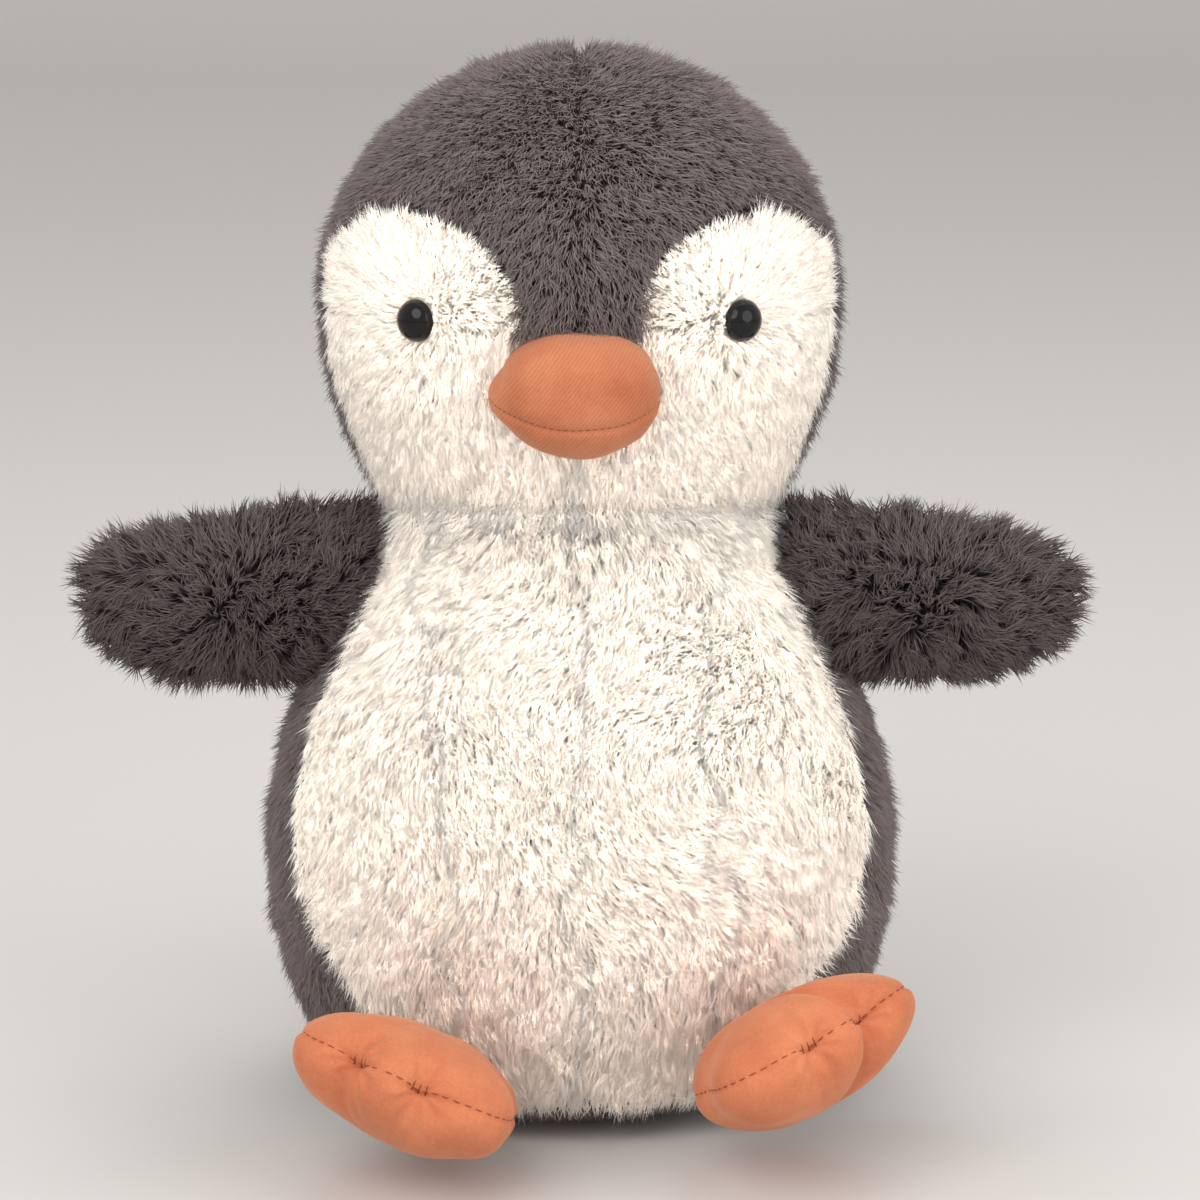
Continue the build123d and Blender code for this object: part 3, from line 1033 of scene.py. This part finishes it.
def foot_pose(name):
    """From the foot's own frame in millimetres to its place on the toy."""
    turned_out, toes_up, roll = foot_turn[name]
    pose = Matrix.Translation(Vector(joints[f"foot_{name}_tilt"]["pos_m"]))
    for angle, axis in ((turned_out, "Z"), (-toes_up, "X"), (roll, "Y")):
        pose = pose @ Matrix.Rotation(radians(angle), 4, axis)
    return pose @ Matrix.Scale(MM, 4)


def posed(points, pose):
    turn = np.array(pose)
    return points @ turn[:3, :3].T + turn[:3, 3]


def stitches(line, dash, gap):
    """Split a line of points into dashes of thread."""
    steps = np.linalg.norm(np.diff(line, axis=0), axis=1)
    where = np.concatenate([[0], np.cumsum(steps)])
    paths = []
    start = 0.0
    while start + dash < where[-1]:
        spots = np.linspace(start, start + dash, 4)
        paths.append(np.stack([np.interp(spots, where, line[:, i]) for i in range(3)], 1))
        start += dash + gap
    return paths


def make_feet():
    for _, name in SIDES:
        pose = foot_pose(name)
        grid = foot_surface(name)
        foot = f"foot_{name}"
        covers = (f"{foot}_upper", f"{foot}_sole")
        cover = cover_piece(f"{foot}_cover", posed(grid, pose), [SUEDE], "orange_suede", 0.85, *covers)
        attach(cover, foot)
        within = posed(foot_surface(name, 8.0, 60, 24), pose)
        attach(fibre_piece(f"{foot}_fibre", within, f"{foot}_filling"), foot)

        rows, columns = grid.shape[:2]
        seam_row = int(round((seam_tilt / pi + 0.5) * rows))
        rim = grid[seam_row]
        rim = posed(np.concatenate([rim, rim[:1]]), pose)
        thread_piece(f"{foot}_rim_thread", stitches(rim, 1.5 * MM, 1.0 * MM), foot, *covers)
        loops = []
        for turn in (-1, 1):
            for shift in (-2, 0, 2):
                column = int(round(turn * pinch_turn / (2 * pi) * columns)) + shift
                loops.append(posed(grid[seam_row - 3 : seam_row + 4, column % columns], pose))
        thread_piece(f"{foot}_pinch_thread", loops, foot, f"{foot}_toe_stitches")


# ---- beak ----


def beak_surface(inset=0.0, columns=160, rows=100):
    """The beak's stuffed cover: a full upper dome, a thinner lower lip, and a groove at the seam."""
    angle = turns(columns)
    tilt = rises(rows)
    ahead = np.cos(tilt) * np.sin(angle)
    up = np.sin(tilt) * np.ones(columns)
    x = np.cos(tilt) * np.cos(angle)
    y = ahead * cos(beak_slope) - up * sin(beak_slope)
    z = ahead * sin(beak_slope) + up * cos(beak_slope)
    way = np.stack([x, y, z], -1)
    sizes = beak_size - inset
    fullness = 2 + 0.5 * np.clip(np.sin(tilt) * 2, 0, 1)[..., None]
    reach = 1 / ((np.abs(way / sizes) ** fullness).sum(-1, keepdims=True)) ** (1 / fullness)
    if not inset:
        corner = bell(tilt, 0.2) * np.clip(-np.cos(angle), 0, 1) ** 10  # only one corner stands out
        groove = bell(tilt, 0.035)
        lip = bell(tilt - 0.16, 0.1) + 0.7 * bell(tilt + 0.16, 0.1)
        shape = 1 + 0.13 * corner - 0.028 * groove + 0.012 * lip
        reach = reach * shape[..., None]
    return beak_centre + way * reach


def make_beak():
    grid = beak_surface()
    grid = grid + grid_normals(grid) * 0.18 * MM * waves(grid, 9 * MM, 91)[..., None]
    covers = ("beak_upper", "beak_lower")
    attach(cover_piece("beak_cover", grid, [TWILL], "orange_suede", 0.9, *covers), "head")
    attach(fibre_piece("beak_fibre", beak_surface(2 * MM, 48, 24), "beak_filling"), "head")

    seam = grid[len(grid) // 2]
    in_front = seam[len(seam) // 2 :]
    dashes = stitches(in_front, 0.9 * MM, 0.6 * MM)
    thread_piece("beak_seam_thread", dashes, "head", *covers)


# ---- carried-over pieces ----


def paint(name, material):
    """Give a CAD node a finished material in place of its plain one."""
    piece = nodes[name]
    if not piece.material_slots:
        piece.data.materials.append(material)
    for slot in piece.material_slots:
        slot.material = material


def make_label():
    """The care label: a thin satin tab folded out of the base seam, with a soft bend."""
    low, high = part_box("care_label")
    inner = np.array([0, low[1] + 0.6 * MM, low[2]])
    outer = np.array([0, high[1] - 1.2 * MM, high[2]])
    across = unit(np.cross([1.0, 0, 0], outer - inner))
    half_thickness = 0.15 * MM
    bend = 1.6 * MM
    rows = []
    for share in np.linspace(0, 1, 24):
        middle = inner + (outer - inner) * share + across * bend * sin(pi * share)
        ring = []
        for x, face in ((low[0], -1), (high[0], -1), (high[0], 1), (low[0], 1)):
            ripple = 0.5 * MM * sin(2 * pi * share + x / (5 * MM))
            ring.append(middle + np.array([x, 0, 0]) + across * (face * half_thickness + ripple))
        rows.append(ring)
    satin = knit_material("label_satin", (0.86, 0.86, 0.84), (0.7, 0.7, 0.68), 2500.0, 0.5)
    label = closed_skin("care_label_tab", np.array(rows), [satin])
    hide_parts("care_label")
    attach(label, "torso")


def paint_nodes():
    cotton = knit_material("pouch_cotton", (0.8, 0.77, 0.7), (0.6, 0.56, 0.48), scale=1400.0)
    granules = plastic_material("pellet_plastic", (0.62, 0.62, 0.6), 0.4, 700.0)
    washer = plastic_material("washer_plastic", (0.8, 0.8, 0.78), 0.35, 200.0)
    for name in nodes:
        if name.endswith("filling"):
            paint(name, FIBRE)
        elif name.endswith("root_seam"):
            paint(name, DARK_CLOTH)
        elif name.startswith("eye_washer"):
            paint(name, washer)
        elif name.startswith("eye"):
            paint(name, EYE)
    paint("pellet_pouch", cotton)
    paint("pellets", granules)


# ---- stage ----


def make_stage():
    """A pale seamless sweep: floor, curve and wall in one sheet."""
    bend_start, bend_radius = 2.2, 0.8
    front, top, half_width = -3.0, 3.0, 3.5
    profile = [(front, 0.0), (bend_start, 0.0)]
    for angle in np.linspace(0, pi / 2, 13)[1:]:
        profile.append((bend_start + bend_radius * sin(angle), bend_radius * (1 - cos(angle))))
    profile.append((bend_start + bend_radius, top))
    points = [(x, y, z) for x in (-half_width, half_width) for y, z in profile]
    count = len(profile)
    faces = [(i, count + i, count + i + 1, i + 1) for i in range(count - 1)]
    material, tree, shader = new_material("pale_sweep", {"Roughness": 0.9})
    cloud = node(tree, "TexNoise", {"Scale": 2.0})
    stops = [(0.0, (0.60, 0.585, 0.57)), (1.0, (0.66, 0.645, 0.63))]
    colour_by(tree, shader, cloud.outputs["Fac"], stops)
    make_piece("sweep", points, faces, [material])


def area_light(name, place, size, power, colour=(1, 1, 1)):
    """A round soft light that points at the toy."""
    data = bpy.data.lights.new(name, "AREA")
    data.shape = "DISK"
    data.size = size
    data.energy = power
    data.color = colour
    light = add_object(name, data)
    light.location = place
    ahead = Vector((0, 0, 0.12)) - Vector(place)
    light.rotation_euler = ahead.to_track_quat("-Z", "Y").to_euler()


def make_lights():
    area_light("key", (-0.5, -0.95, 0.9), 1.1, 8.5, (1, 0.98, 0.955))
    area_light("fill", (0.9, -0.7, 0.5), 1.0, 4.5, (1, 0.985, 0.96))
    area_light("top", (0.1, 0.3, 1.1), 0.8, 3.0)
    world = bpy.data.worlds.new("studio")
    world.use_nodes = True
    daylight = {"Color": (1.0, 0.985, 0.96, 1), "Strength": 0.78}
    set_inputs(world.node_tree.nodes["Background"], daylight)
    scene = bpy.context.scene
    scene.world = world
    scene.view_settings.view_transform = "Standard"
    scene.cycles.diffuse_bounces = 8


camera_distance = 1.05
camera_rise = radians(12.0)
frame_width = 0.261  # what the picture's width spans at the toy
sensor = 36.0


def make_camera():
    """Level with the photograph: a long lens, a little above the toy."""
    target = Vector((4.3 * MM, axis_y, 109 * MM))
    data = bpy.data.cameras.new("camera")
    data.sensor_width = sensor
    data.lens = sensor * camera_distance / frame_width
    data.clip_start = 0.05
    camera = add_object("camera", data)
    back = Vector((0, -cos(camera_rise), sin(camera_rise)))
    camera.location = target + back * camera_distance
    camera.rotation_euler = (-back).to_track_quat("-Z", "Y").to_euler()
    bpy.context.scene.camera = camera


make_stage()
make_lights()
make_camera()
make_body()
make_head()
make_wings()
make_feet()
make_beak()
make_label()
paint_nodes()
